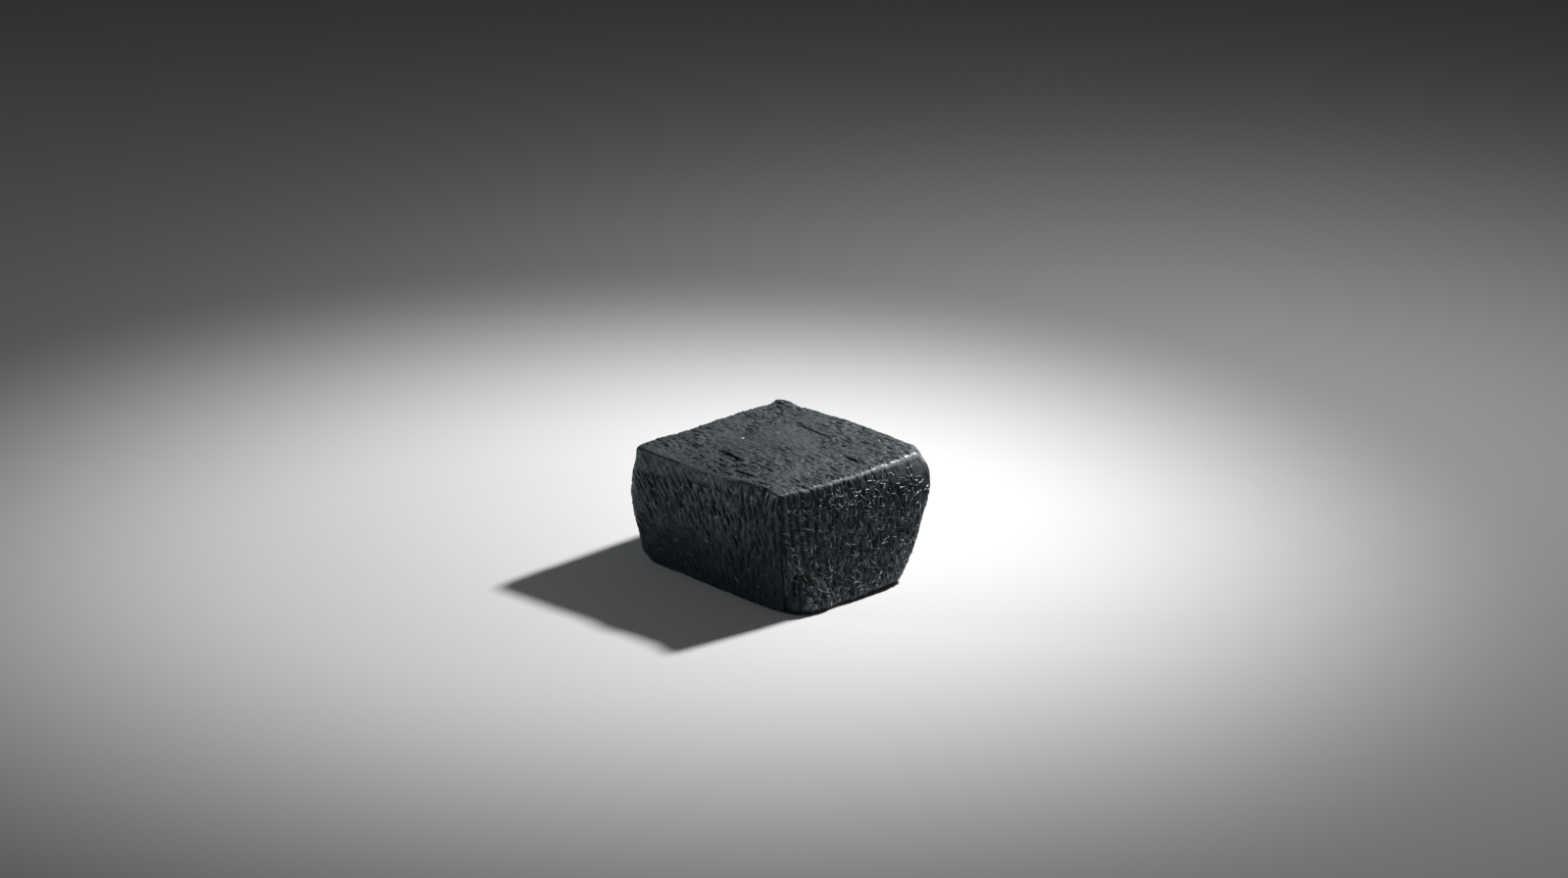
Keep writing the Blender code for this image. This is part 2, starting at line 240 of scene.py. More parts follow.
# Groove along the upright front right corner, and its distance from that corner
CORNER_GROOVE_WIDTH = 0.5
CORNER_GROOVE_DEPTH = 0.8
CORNER_GROOVE_OFFSET = 0.9

# How sharply the reliefs of two faces change over at the edge between them
FACE_SHARPNESS = 4

# Relief that counts as a furrow's bottom and as a crest, between which the furrows' painted shade fades
# out, and depth of a cut whose painted shade is full
FURROW_LEVEL = -0.45
CREST_LEVEL = 0.20
DARK_DEPTH = 0.20
# Upward part of the normal between which the looks of the sides change over to those of the top
TOP_NORMALS = (0.5, 0.9)
# The top's right edge, smoothed and painted pale as a highlight: the least of the normal's rightward and
# upward parts between which it appears, from where to where along the edge it grows, its share at the
# start, and the share of the cuts that it fills
RIM_NORMALS = (0.36, 0.62)
RIM_ALONG = (-26.0, 20.0)
RIM_LEAST = 0.3
RIM_SMOOTHNESS = 0.7

# Slivers that stand off each face: number, field of their middles, the slants that they favour (degrees)
# and the paleness of the palest one, which is a painted glint
RIGHT_FLAKES = (600, ((-25.0, 1.0), (23.0, 29.0)), (0.0, 5.0, -6.0, 0.0, -30.0, 80.0, 88.0), 1.0)
TOP_FLAKES = (16, ((-25.0, -20.0), (24.0, 25.0)), (0.0, 40.0, 80.0), 0.05)
FRONT_FLAKES = (10, ((-22.0, 1.5), (24.0, 14.0)), (0.0, -30.0), 0.10)
# How far a slant strays from those (degrees), a sliver's sizes, its bend as a share of its half length,
# how deep its edges are sunk, and the number of points along it
FLAKE_SLANT_SPREAD = 18.0
FLAKE_HALF_LENGTH = (0.28, 1.20)
FLAKE_HALF_WIDTH = (0.07, 0.13)
FLAKE_LIFT = (0.12, 0.30)
FLAKE_BEND = 0.12
FLAKE_SINK = 0.06
FLAKE_ROWS = 7
# Below 1 for more pale slivers, painted as glints, than dull ones
PALENESS_POWER = 0.9
# Most that a sliver may reach into or out of its face; where it would reach further, it is left out
FLAKE_DEEPEST = 1.5
# Distance from which the surface under a sliver is looked for
FAR_OFF = 60.0

SEED = 7

# Colours of the char, from the painted shade of its cuts and furrows to the painted highlight of the top's
# right edge, and the tint of its gloss
CUT_SHADE_COLOUR = (0.002, 0.003, 0.004, 1.0)
FURROW_SHADE_COLOUR = (0.020, 0.0255, 0.030, 1.0)
CREST_COLOUR = (0.054, 0.065, 0.073, 1.0)
TOP_COLOUR = (0.055, 0.061, 0.065, 1.0)
RIM_HIGHLIGHT_COLOUR = (0.25, 0.26, 0.27, 1.0)
GLOSS_TINT = (0.80, 0.93, 1.0, 1.0)
# Fibres and shorter dashes that are too fine for the mesh: sizes across and along the grain, and the levels
# of their noise between which they fade
FIBRE_SIZE = (0.42, 2.2, 1.0)
FIBRE_LEVELS = (0.36, 0.45)
DASH_SIZE = (0.26, 1.1, 1.0)
DASH_LEVELS = (0.34, 0.42)
DASH_SHARE = 0.7
# How dark both are, as painted shade, as a share of a deep cut, and their depth in metres
FINE_DARKNESS = 0.75
FINE_DEPTH = 0.00008
# The top's places across the grain count for this share, so that its fibres are twice as wide, and the
# faces lie this far apart in the fibres' pattern
TOP_CROSS_SHARE = 0.5
FACE_APART = 100.0
# Grit, in metres: its size and height, and how pale it makes the top between two levels of its noise
GRIT_SIZE = 0.00035
SIDE_GRIT_HEIGHT = 0.00005
TOP_GRIT_HEIGHT = 0.00012
GRIT_LEVELS = (0.40, 0.65)
TOP_PALENESS = (0.2, 0.7)
# Patches, in metres, in which the crests are duller or paler
PATCH_SIZE = 0.011
PATCH_LEVELS = (0.35, 0.65)
PATCH_PALENESS = (0.7, 1.0)
# Glossier spots, in metres, with the roughness in them and between them, how much rougher the cuts and
# the top are, and the level of the gloss on the sides and on the top
GLOSS_SPOT_SIZE = 0.0012
GLOSS_SPOT_LEVELS = (0.34, 0.62)
CHAR_ROUGHNESS = (0.28, 0.44)
CUT_ROUGHER = 0.3
TOP_ROUGHER = 0.12
SIDE_GLOSS = 0.55
TOP_GLOSS = 0.25

# Looks of the slivers, from the dullest to the palest, whose pale colour is a painted glint
DULL_FLAKE_COLOUR = (0.12, 0.125, 0.13, 1.0)
GLINT_FLAKE_COLOUR = (0.85, 0.86, 0.87, 1.0)
FLAKE_ROUGHNESS = 0.4

# Camera, in metres and degrees: its sensor and lens (millimetres), the way it looks, how far off it is
# and the point that it looks at
SENSOR_MM = 36.0
LENS_MM = 85.0
VIEW_AZIMUTH = 45.0
VIEW_ELEVATION = 19.5
VIEW_DISTANCE = 0.9444
AIM = (0.0135, -0.0140, 0.0410)

# Lights, in metres and watts
KEY_PLACE = (0.018, 0.153, 0.171)
KEY_RADIUS = 0.010
KEY_POWER = 4.35
KEY_COLOUR = (1.0, 0.99, 0.98)
FRONT_LIGHT_PLACE = (-0.74, -0.56, 0.22)
FRONT_LIGHT_SIZE = 0.20
FRONT_LIGHT_POWER = 2.0
FILL_STRENGTH = 0.040
FILL_COLOUR = (0.92, 0.97, 1.0)

# The floor, in metres: a painted pool of light, pale in its middle and painted greyer from one distance to
# the other
FLOOR_SIZE = 6.0
FLOOR_COLOUR = (0.89, 0.89, 0.895, 1.0)
FLOOR_PAINTED_FALLOFF_COLOUR = (0.205, 0.207, 0.211, 1.0)
FLOOR_MIDDLE = (-0.0455, -0.0394, 0.0)
FLOOR_PALE_RADIUS = 0.0713
FLOOR_GREY_RADIUS = 0.2665
# Painted shade: below the key light the floor has only a share of its colour, so that it isn't burnt out
# there, and the full colour from a radius on
FLOOR_PAINTED_SHADE_SHARE = 0.376
FLOOR_PAINTED_SHADE_RADIUS = 0.3277
FLOOR_ROUGHNESS = 0.8
FLOOR_GLOSS = 0.2
BLACK = (0.0, 0.0, 0.0, 1.0)

# Multipliers and bit masks that the repeatable random numbers are mixed with
SEED_MIXER = 2654435761
AXIS_MIXERS = (73856093, 19349663, 83492791)
LATER_MIXERS = ((15, 2246822519), (13, 3266489917))
LOW_32_BITS = 0xFFFFFFFF
LOW_24_BITS = 0xFFFFFF
# Least length that is divided by
TINY = 1e-9
# A colour Mix node's sockets, by number, because its other kinds of sockets have the same names
MIX_SHARE, MIX_FIRST, MIX_SECOND, MIX_RESULT = 0, 6, 7, 2


def smooth_step(value, start, end):
    """Rises from 0 at start to 1 at end, with no corner at either."""
    t = np.clip((value - start) / (end - start), 0.0, 1.0)
    return t * t * (3.0 - 2.0 * t)


def lattice_random(cell, seed):
    """A repeatable random number from 0 to 1 for each whole-numbered cell."""
    mixed = np.full(len(cell), seed * SEED_MIXER & LOW_32_BITS, dtype=np.uint64)
    for along_axis, mixer in zip(cell.T, AXIS_MIXERS):
        mixed ^= (along_axis.astype(np.int64) * mixer).astype(np.uint64) & LOW_32_BITS
        for shift, later_mixer in LATER_MIXERS:
            mixed = (mixed ^ (mixed >> shift)) * later_mixer & LOW_32_BITS
    return ((mixed ^ (mixed >> 16)) & LOW_24_BITS) / (LOW_24_BITS + 1.0)


def value_noise(points, seed):
    """Smooth noise from -1 to 1 with features about one unit across."""
    base = np.floor(points)
    blend = points - base
    blend = blend * blend * (3.0 - 2.0 * blend)
    total = np.zeros(len(points))
    for corner in np.ndindex(*(2,) * points.shape[1]):
        offset = np.array(corner)
        weight = np.prod(np.where(offset, blend, 1.0 - blend), axis=1)
        total += weight * lattice_random(base + offset, seed)
    return 2.0 * total - 1.0


def scattered_cells(points, seed):
    """Cells about one unit across: the distance to their border, and each one's own level, -1 to 1."""
    base = np.floor(points)
    nearest = np.full(len(points), np.inf)
    second = np.full(len(points), np.inf)
    level = np.zeros(len(points))
    for step in np.ndindex(3, 3):
        cell = base + np.array(step) - 1
        heart = np.stack([lattice_random(cell, seed), lattice_random(cell, seed + 1)], axis=1)
        away = np.linalg.norm(points - cell - heart, axis=1)
        level = np.where(away < nearest, 2.0 * lattice_random(cell, seed + 2) - 1.0, level)
        second = np.minimum(second, np.maximum(nearest, away))
        nearest = np.minimum(nearest, away)
    return second - nearest, level


def box_block():
    """An evenly divided box, as a mesh, and its points in millimetres."""
    block = bmesh.new()
    bmesh.ops.create_cube(block, size=1.0)
    for axis, size in enumerate((LENGTH, WIDTH, HEIGHT)):
        along = [e for e in block.edges if abs(e.verts[0].co[axis] - e.verts[1].co[axis]) > 0.5]
        bmesh.ops.subdivide_edges(block, edges=along, cuts=round(size / POINT_SPACING) - 1)
    mesh = bpy.data.meshes.new("char")
    block.to_mesh(mesh)
    block.free()
    flat = np.empty(3 * len(mesh.vertices), dtype=np.float32)
    mesh.vertices.foreach_get("co", flat)
    return mesh, flat.reshape(-1, 3).astype(float) * (LENGTH, WIDTH, HEIGHT)


def edge_radius(points):
    """Rounding radius at each point: that of the nearest edges of the box."""
    half = np.array((LENGTH, WIDTH, HEIGHT)) / 2
    sides = {
        "left": (0, -1), "right": (0, 1),
        "front": (1, -1), "back": (1, 1),
        "foot": (2, -1), "top": (2, 1),
    }
    total = np.zeros(len(points))
    weights = np.zeros(len(points))
    for name, radius in EDGE_RADII.items():
        first, second = (sides[word] for word in name.split())
        away = np.hypot(*(points[:, axis] - sign * half[axis] for axis, sign in (first, second)))
        weight = 1.0 / (away**2 + EDGE_BLEND**2) ** 2
        total += weight * radius
        weights += weight
    return total / weights


def round_edges(points):
    """Moves the box's points on to the same box with rounded edges."""
    radius = edge_radius(points)[:, None]
    half = np.array((LENGTH, WIDTH, HEIGHT)) / 2
    inner = np.clip(points, -(half - radius), half - radius)
    outward = points - inner
    return inner + outward * radius / np.maximum(np.linalg.norm(outward, axis=1, keepdims=True), TINY)


def at_height(values, height):
    """Smoothly joined values of a table that is given at LEVELS."""
    values = np.array(values)
    slope = np.gradient(values, LEVELS, axis=0)
    lower = np.clip(np.searchsorted(LEVELS, height, side="right") - 1, 0, len(LEVELS) - 2)
    span = np.diff(LEVELS)[lower]
    t = np.clip((height - np.array(LEVELS)[lower]) / span, 0.0, 1.0)
    if values.ndim == 2:
        t, span = t[:, None], span[:, None]
    rise = t * t * (3.0 - 2.0 * t)
    leaving = (t**3 - 2.0 * t**2 + t) * span
    arriving = (t**3 - t**2) * span
    between = values[lower] * (1.0 - rise) + values[lower + 1] * rise
    return between + slope[lower] * leaving + slope[lower + 1] * arriving


def lean_block(points):
    """Carries the rounded box's points to the block's leaning corners and bulging faces."""
    u = points[:, 0] / (LENGTH / 2)
    v = points[:, 1] / (WIDTH / 2)
    height = points[:, 2] + HEIGHT / 2
    right = ((1.0 + u) / 2)[:, None]
    back = ((1.0 + v) / 2)[:, None]
    front_line = at_height(FRONT_LEFT, height) * (1.0 - right) + at_height(FRONT_RIGHT, height) * right
    back_line = at_height(BACK_LEFT, height) * (1.0 - right) + at_height(BACK_RIGHT, height) * right
    plan = front_line * (1.0 - back) + back_line * back
    across_x = 1.0 - np.abs(v) ** BULGE_POWER
    across_y = 1.0 - np.abs(u) ** BULGE_POWER
    plan[:, 0] += at_height(RIGHT_BULGE, height) * across_x * right[:, 0]
    plan[:, 0] -= at_height(LEFT_BULGE, height) * across_x * (1.0 - right[:, 0])
    plan[:, 1] += at_height(BACK_BULGE, height) * across_y * back[:, 0]
    plan[:, 1] -= at_height(FRONT_BULGE, height) * across_y * (1.0 - back[:, 0])
    return np.column_stack([plan, height])


def swellings(points):
    """How far all local swellings and dents move each point out."""
    outward = np.zeros(len(points))
    for centre, radius, height in SWELLINGS.values():
        away = np.linalg.norm(points - centre, axis=1) / radius
        outward += height * (1.0 - smooth_step(away, SWELLING_CORE, 1.0))
    return outward


def top_chip(points, normals):
    """How far the chip takes the top of the front face back."""
    along = np.abs(points[:, 0] - CHIP_MIDDLE) / CHIP_HALF_LENGTH
    rise = smooth_step(points[:, 2], HEIGHT - CHIP_HEIGHT, HEIGHT)
    strip = smooth_step(points[:, 1], -WIDTH / 2 + CHIP_STRIP, -WIDTH / 2)
    near_front = np.maximum(np.clip(-normals[:, 1], 0.0, 1.0), strip)
    return CHIP_DEPTH * rise * near_front * (1.0 - smooth_step(along, CHIP_EVEN_SHARE, 1.0))


def furrows(across, along, layers, seed):
    """Layers of long cells of charred grain with narrow furrows between them."""
    place = np.column_stack([across, along])
    relief = np.zeros(len(place))
    for number, (width, length, depth, step) in enumerate(layers):
        wander = GRAIN_WANDER * value_noise(place / (GRAIN_WANDER_LENGTH * width), seed + 3 + number)
        cells = place / (width, length) + np.column_stack([wander, GRAIN_WANDER_ALONG * wander])
        gap, level = scattered_cells(cells, seed + 100 * number)
        relief += (depth + step * level) * smooth_step(gap, 0.0, FURROW_REACH) - depth
    return relief


def slits(across, along, layers, slant, seed):
    """Short narrow cuts along the grain, one drawn in each cell of a lattice. Values are 0 or less."""
    place = np.column_stack([across, along])
    cut = np.zeros(len(place))
    for number, (spacing, half_width, half_length, depth) in enumerate(layers):
        base = np.floor(place / spacing)
        for step in np.ndindex(3, 3):
            cell = base + np.array(step) - 1
            draws = [lattice_random(cell, seed + 10 * number + n) for n in range(5)]
            offset = place - (cell + np.column_stack(draws[:2])) * spacing
            half = half_length * (SLIT_SHORTEST + (1.0 - SLIT_SHORTEST) * draws[2])
            share = np.clip(offset[:, 1] / half, -1.0, 1.0)
            lean = slant * (2.0 * draws[3] - 1.0)
            away = np.hypot(offset[:, 0] - lean * share * half, offset[:, 1] - share * half) / half_width
            taper = np.sqrt(1.0 - share**2)
            cut = np.minimum(cut, -depth * draws[4] * taper * (1.0 - smooth_step(away, 0.0, 1.0)))
    return cut


def crack(plan, ragged, start, end, half_width, depth):
    """A V-shaped crack between two plan points, ragged and tapering to both ends."""
    start, end = np.array(start), np.array(end)
    line = end - start
    share = np.clip((plan - start) @ line / (line @ line), 0.0, 1.0)
    away = np.linalg.norm(plan - start - share[:, None] * line, axis=1) / half_width
    taper = np.sqrt(np.clip(4.0 * share * (1.0 - share), 0.0, 1.0))
    return -depth * taper * (1.0 - smooth_step(away + ragged, *CRACK_WALL))


def top_relief(points):
    """Flat top with shallow grain along X."""
    plan = points[:, :2]
    waves = TOP_WAVE_HEIGHT * value_noise(plan / TOP_WAVE_LENGTHS, SEED + 10)
    return waves + furrows(plan[:, 1], plan[:, 0], TOP_GRAIN, SEED + 60)


def top_cuts(points):
    """The long cracks of the top, and slits along X that thin out towards its smooth spot."""
    plan = points[:, :2]
    ragged = CRACK_RAGGEDNESS * value_noise(plan / RAGGED_LENGTH, SEED + 40)
    wander = CRACK_WANDER * value_noise(plan / CRACK_WANDER_LENGTH, SEED + 41)
    wandering = plan + np.column_stack([np.zeros(len(plan)), wander])
    patches = smooth_step(value_noise(plan / SLIT_PATCH_SIZE, SEED + 42), *SLIT_PATCH_LEVELS)
    spot = np.linalg.norm(plan - SMOOTH_SPOT, axis=1) / SMOOTH_SPOT_RADIUS
    cuts = slits(plan[:, 1], plan[:, 0], TOP_SLITS, SLIT_SLANTS["top"], SEED + 200)
    cuts *= patches * smooth_step(spot, SMOOTH_SPOT_CORE, 1.0) * smooth_step(points[:, 1], *TOP_CLEAR_STRIP)
    for one in TOP_CRACKS:
        cuts = np.minimum(cuts, crack(wandering, ragged, *one))
    return cuts


def front_grain_place(points):
    """Places across and along the grain of the front and back faces: leaning at the left end."""
    lean = np.interp(points[:, 0], (-LENGTH / 2, LENGTH / 2), (LEAN_LEFT, LEAN_RIGHT))
    return points[:, 0] + lean * (points[:, 2] - HEIGHT / 2), points[:, 2]


def band_edge(points):
    """Height over the lower edge of the smoother band under the front's top edge."""
    return points[:, 2] - np.interp(points[:, 0], *zip(BAND_LEFT, BAND_RIGHT))


def grain_left(points):
    """Share of the grain that is left: all of it but for the smoother band of the front face."""
    in_band = smooth_step(band_edge(points), -BAND_FADE / 2, BAND_FADE / 2)
    in_band *= 1.0 - smooth_step(points[:, 0], BAND_RIGHT[0], BAND_RIGHT[0] + BAND_END_FADE)
    return 1.0 - (1.0 - BAND_GRAIN) * in_band * (points[:, 1] < 0)


def front_relief(points):
    """Grain of the front and back faces."""
    return furrows(*front_grain_place(points), FRONT_GRAIN, SEED + 20) * grain_left(points)


def above_shaded_foot(points):
    """Share of the front face's grain, and of its paleness against painted shade, at each height."""
    return SHADED_FOOT_SHARE + (1.0 - SHADED_FOOT_SHARE) * smooth_step(points[:, 2], *SHADED_FOOT_HEIGHTS)


def front_cuts(points):
    """Slits of the front and back faces, and the broken crack under the smoother band."""
    cuts = slits(*front_grain_place(points), FRONT_SLITS, SLIT_SLANTS["front"], SEED + 230)
    cuts *= grain_left(points) * above_shaded_foot(points)
    ragged = value_noise(points[:, ::2] / RAGGED_LENGTH, SEED + 43)
    wander = BAND_CRACK_WANDER * value_noise(points[:, ::2] / CRACK_WANDER_LENGTH, SEED + 44)
    away = np.abs(band_edge(points) + wander)
    shown = smooth_step(ragged, *BAND_CRACK_LEVELS) * (points[:, 0] < BAND_RIGHT[0]) * (points[:, 1] < 0)
    return np.minimum(cuts, -BAND_CRACK_DEPTH * shown * (1.0 - smooth_step(away, 0.0, BAND_CRACK_WIDTH)))


def flute_reach(points):
    """Where the flutes by the front right corner are, from 0 to 1."""
    from_corner = points[:, 1] + WIDTH / 2
    reach = 1.0 - smooth_step(from_corner, FLUTE_FULL_SHARE * FLUTE_REACH, FLUTE_REACH)
    return reach * smooth_step(points[:, 2], *FLUTE_RISE) * (points[:, 0] > 0)


def calm_part(points):
    """Where the calmer upper back part of the sides is, from 0 to 1."""
    return smooth_step(points[:, 1], *CALM_ALONG) * smooth_step(points[:, 2], *CALM_HEIGHTS)


def side_grain_left(points):
    """Share of the grain that is left on the right and left faces."""
    in_flutes = 1.0 - (1.0 - GRAIN_IN_FLUTES) * flute_reach(points)
    return in_flutes * (1.0 - (1.0 - CALM_GRAIN) * calm_part(points))


def side_relief(points):
    """Grain of the right and left faces."""
    return furrows(points[:, 1], points[:, 2], SIDE_GRAIN, SEED + 30) * side_grain_left(points)


def side_cuts(points):
    """Slits of the right and left faces, the flutes and the groove along the front right corner."""
    y, z = points[:, 1], points[:, 2]
    cuts = slits(y, z, SIDE_SLITS, SLIT_SLANTS["side"], SEED + 260) * side_grain_left(points)
    wander = FLUTE_WANDER * value_noise(np.column_stack([y, z]) / FLUTE_WANDER_LENGTHS, SEED + 33)
    wave = 0.5 + 0.5 * np.cos(2 * np.pi * ((y + WIDTH / 2) / FLUTE_SPACING + wander))
    cuts = np.minimum(cuts, -FLUTE_DEPTH * wave**FLUTE_SHARPNESS * flute_reach(points))
    corner = at_height(FRONT_RIGHT, z)[:, 1]
    away = np.abs(y - corner - CORNER_GROOVE_OFFSET)
    groove = -CORNER_GROOVE_DEPTH * (1.0 - smooth_step(away, 0.0, CORNER_GROOVE_WIDTH)) * (points[:, 0] > 0)
    return np.minimum(cuts, groove)


def underside_relief(points):
    """Shallow pits, with an even patch left in the middle. Values above nought are cut off."""
    coarse, fine = (value_noise(points[:, :2] / size, SEED + 50 + n) for n, size in enumerate(PIT_LENGTHS))
    off_patch = smooth_step(np.max(np.abs(points[:, :2]), axis=1), FLAT_PATCH, FLAT_PATCH + PATCH_MARGIN)
    return np.minimum(PIT_DEPTH * (coarse + FINE_PIT_SHARE * fine), 0.0) * off_patch


def granules(points):
    """Granules all over, higher round the back left corner of the top."""
    spot = np.linalg.norm(points[:, :2] - ROUGH_SPOT, axis=1) / ROUGH_SPOT_RADIUS
    grit = value_noise(points / GRANULE_SIZE, SEED + 70)
    grit += FINE_GRANULE_SHARE * value_noise(points / FINE_GRANULE_SIZE, SEED + 71)
    near = 1.0 - smooth_step(spot, ROUGH_SPOT_CORE, 1.0)
    near *= smooth_step(points[:, 2], HEIGHT - ROUGH_SPOT_REACH, HEIGHT)
    return GRANULE_HEIGHT * grit * (1.0 + ROUGH_SPOT_GAIN * near)


def face_weights(normals):
    """Shares of the side, front and top reliefs, by the way the surface looks."""
    weights = np.clip(np.abs(normals), 0.0, 1.0) ** FACE_SHARPNESS
    return weights / weights.sum(axis=1, keepdims=True)


def relief(points, normals):
    """Displacement along the normal from the grain, and from the cuts alone."""
    weights = face_weights(normals)
    looks_up = normals[:, 2] > 0
    upward = np.where(looks_up, top_relief(points), underside_relief(points))
    clear_of_foot = smooth_step(normals[:, 2], *FOOT_NORMALS)
    waves = WAVE_HEIGHT * value_noise(points / WAVE_LENGTH, SEED)
    grain = weights[:, 0] * side_relief(points) + weights[:, 1] * front_relief(points)
    grain += weights[:, 2] * upward + (waves + granules(points)) * clear_of_foot
    cuts = weights[:, 0] * side_cuts(points) + weights[:, 1] * front_cuts(points)
    return grain, cuts + weights[:, 2] * top_cuts(points) * looks_up


def grain_place(points, normals):
    """Place in the fibres' pattern: across and along the grain of the nearest face, and that face's own."""
    face = np.argmax(face_weights(normals), axis=1)
    front_across, front_along = front_grain_place(points)
    across = np.choose(face, (points[:, 1], front_across, TOP_CROSS_SHARE * points[:, 1]))
    along = np.choose(face, (points[:, 2], front_along, points[:, 0]))
    return np.column_stack([across, along, FACE_APART * face])


def set_points(mesh, points):
    """Moves the mesh to the points and gives its normals there."""
    mesh.vertices.foreach_set("co", np.ascontiguousarray(points, dtype=np.float32).ravel())
    mesh.update()
    flat = np.empty(3 * len(mesh.vertices), dtype=np.float32)
    mesh.vertex_normals.foreach_get("vector", flat)
    return flat.reshape(-1, 3).astype(float)


def keep_value(mesh, name, values):
    """Stores a number, or a vector, for each point of the mesh."""
    if values.ndim == 1:
        mesh.attributes.new(name, "FLOAT", "POINT").data.foreach_set("value", values.astype(np.float32))
    else:
        layer = mesh.attributes.new(name, "FLOAT_VECTOR", "POINT")
        layer.data.foreach_set("vector", values.astype(np.float32).ravel())


def lump_mesh():
    """The lump's surface in metres, with its relief kept as named values for the material."""
    mesh, points = box_block()
    points = lean_block(round_edges(points))
    normals = set_points(mesh, points)
    points += normals * swellings(points)[:, None]
    points[:, 1] += top_chip(points, normals)
    normals = set_points(mesh, points)
    grain, cuts = relief(points, normals)
    place = grain_place(points, normals)
    # Painted highlight: the rounded right edge of the top, more so towards the back, is painted pale; its
    # cuts are smoothed.
    highlit_rim = smooth_step(np.minimum(normals[:, 0], normals[:, 2]), *RIM_NORMALS)
    highlit_rim *= RIM_LEAST + (1.0 - RIM_LEAST) * smooth_step(points[:, 1], *RIM_ALONG)
    cuts *= 1.0 - RIM_SMOOTHNESS * highlit_rim
    top = smooth_step(normals[:, 2], *TOP_NORMALS) * (1.0 - highlit_rim)
    on_side, on_front, _ = face_weights(normals).T
    # Painted shade: the crests are less pale, and the char less glossy, on the foot of the front face.
    unshaded = 1.0 - on_front * (1.0 - above_shaded_foot(points))
    # Painted shade: the crests are less pale on the calm upper back part of the sides.
    unshaded *= 1.0 - (1.0 - CALM_SHADED_CREST) * on_side * calm_part(points)
    # Painted shade: the lower the grain, the nearer the colour comes to that of the furrows.
    crest = unshaded * np.clip((grain - FURROW_LEVEL) / (CREST_LEVEL - FURROW_LEVEL), 0.0, 1.0)
    points += normals * (grain + cuts)[:, None]
    points[:, 2] = np.maximum(points[:, 2], 0.0)
    centre = (points.max(axis=0) + points.min(axis=0)) / 2
    points[:, :2] -= centre[:2]
    set_points(mesh, points * MM)
    keep_value(mesh, "crest", crest)
    # Painted shade: the deeper a cut, the darker its colour.
    keep_value(mesh, "cut", np.clip(-cuts / DARK_DEPTH, 0.0, 1.0))
    keep_value(mesh, "top", top)
    keep_value(mesh, "unshaded", unshaded)
    keep_value(mesh, "highlit_rim", highlit_rim)
    keep_value(mesh, "grain", place)
    mesh.shade_smooth()
    return mesh


def thinned(mesh):
    """The same surface with fewer triangles, spent where it bends."""
    piece = add_object("fine charcoal", mesh)
    thinning = piece.modifiers.new("thinning", "DECIMATE")
    thinning.ratio = min(1.0, MOST_TRIANGLES / (2 * len(mesh.polygons)))
    finished = bpy.data.meshes.new_from_object(piece.evaluated_get(bpy.context.evaluated_depsgraph_get()))
    bpy.data.objects.remove(piece)
    return finished


def on_surface(surface, outward, place, height):
    """The point over a place of one face, at a height over the surface there, or None off the face."""
    axis = max(range(3), key=lambda n: abs(outward[n]))
    start = Vector(np.insert(place, axis, FAR_OFF * outward[axis])) * MM
    hit = surface.ray_cast(start, -Vector(outward))[0]
    return None if hit is None else hit + Vector(outward) * height * MM


def flake_rows(surface, outward, draw, field, slants):
    """One sliver, or None: rows of a sunk edge, a raised spine that bridges dips, and a sunk edge."""
    middle = draw.uniform(*field)
    angle = math.radians(draw.choice(slants) + draw.normal(0.0, FLAKE_SLANT_SPREAD))
    length, width = draw.uniform(*FLAKE_HALF_LENGTH), draw.uniform(*FLAKE_HALF_WIDTH)
    bend, lift = draw.normal(0.0, FLAKE_BEND) * length, draw.uniform(*FLAKE_LIFT)
    ahead = np.array((math.cos(angle), math.sin(angle)))
    aside = np.array((-ahead[1], ahead[0]))
    rows = []
    for share in np.linspace(-1.0, 1.0, FLAKE_ROWS):
        swell = math.sqrt(max(0.0, 1.0 - share**2))
        spine = middle + share * length * ahead + bend * share**2 * aside
        for side, height in ((-1, -FLAKE_SINK), (0, lift * swell), (1, -FLAKE_SINK)):
            rows.append(on_surface(surface, outward, spine + side * width * swell * aside, height))
    if None in rows:
        return None
    rows = np.array(rows)
    reach = rows @ outward
    if np.ptp(reach) > FLAKE_DEEPEST * MM:
        return None
    bridge = np.linspace(reach[1], reach[-2], FLAKE_ROWS)
    rows[1::3] += np.outer(np.maximum(bridge - reach[1::3], 0.0), outward)
    return rows


def flake_mesh(surface):
    """All slivers in one mesh, each with its own paleness, which paints a glint."""
    draw = np.random.default_rng(SEED)
    points, faces, paleness = [], [], []
    for outward, (number, field, slants, palest) in (
        ((1.0, 0.0, 0.0), RIGHT_FLAKES),
        ((0.0, 0.0, 1.0), TOP_FLAKES),
        ((0.0, -1.0, 0.0), FRONT_FLAKES),
    ):
        for _ in range(number):
            rows = flake_rows(surface, outward, draw, field, slants)
            # Paleness of this sliver: a painted glint.
            pale = palest * draw.uniform() ** PALENESS_POWER
            if rows is None:
                continue
            first = len(points)
            points += rows.tolist()
            paleness += [pale] * len(rows)
            for n in range(first, first + 3 * (FLAKE_ROWS - 1), 3):
                faces += [(n, n + 1, n + 4, n + 3), (n + 1, n + 2, n + 5, n + 4)]
    mesh = bpy.data.meshes.new("flakes")
    mesh.from_pydata(points, [], faces)
    keep_value(mesh, "pale", np.array(paleness))
    mesh.shade_smooth()
    return mesh


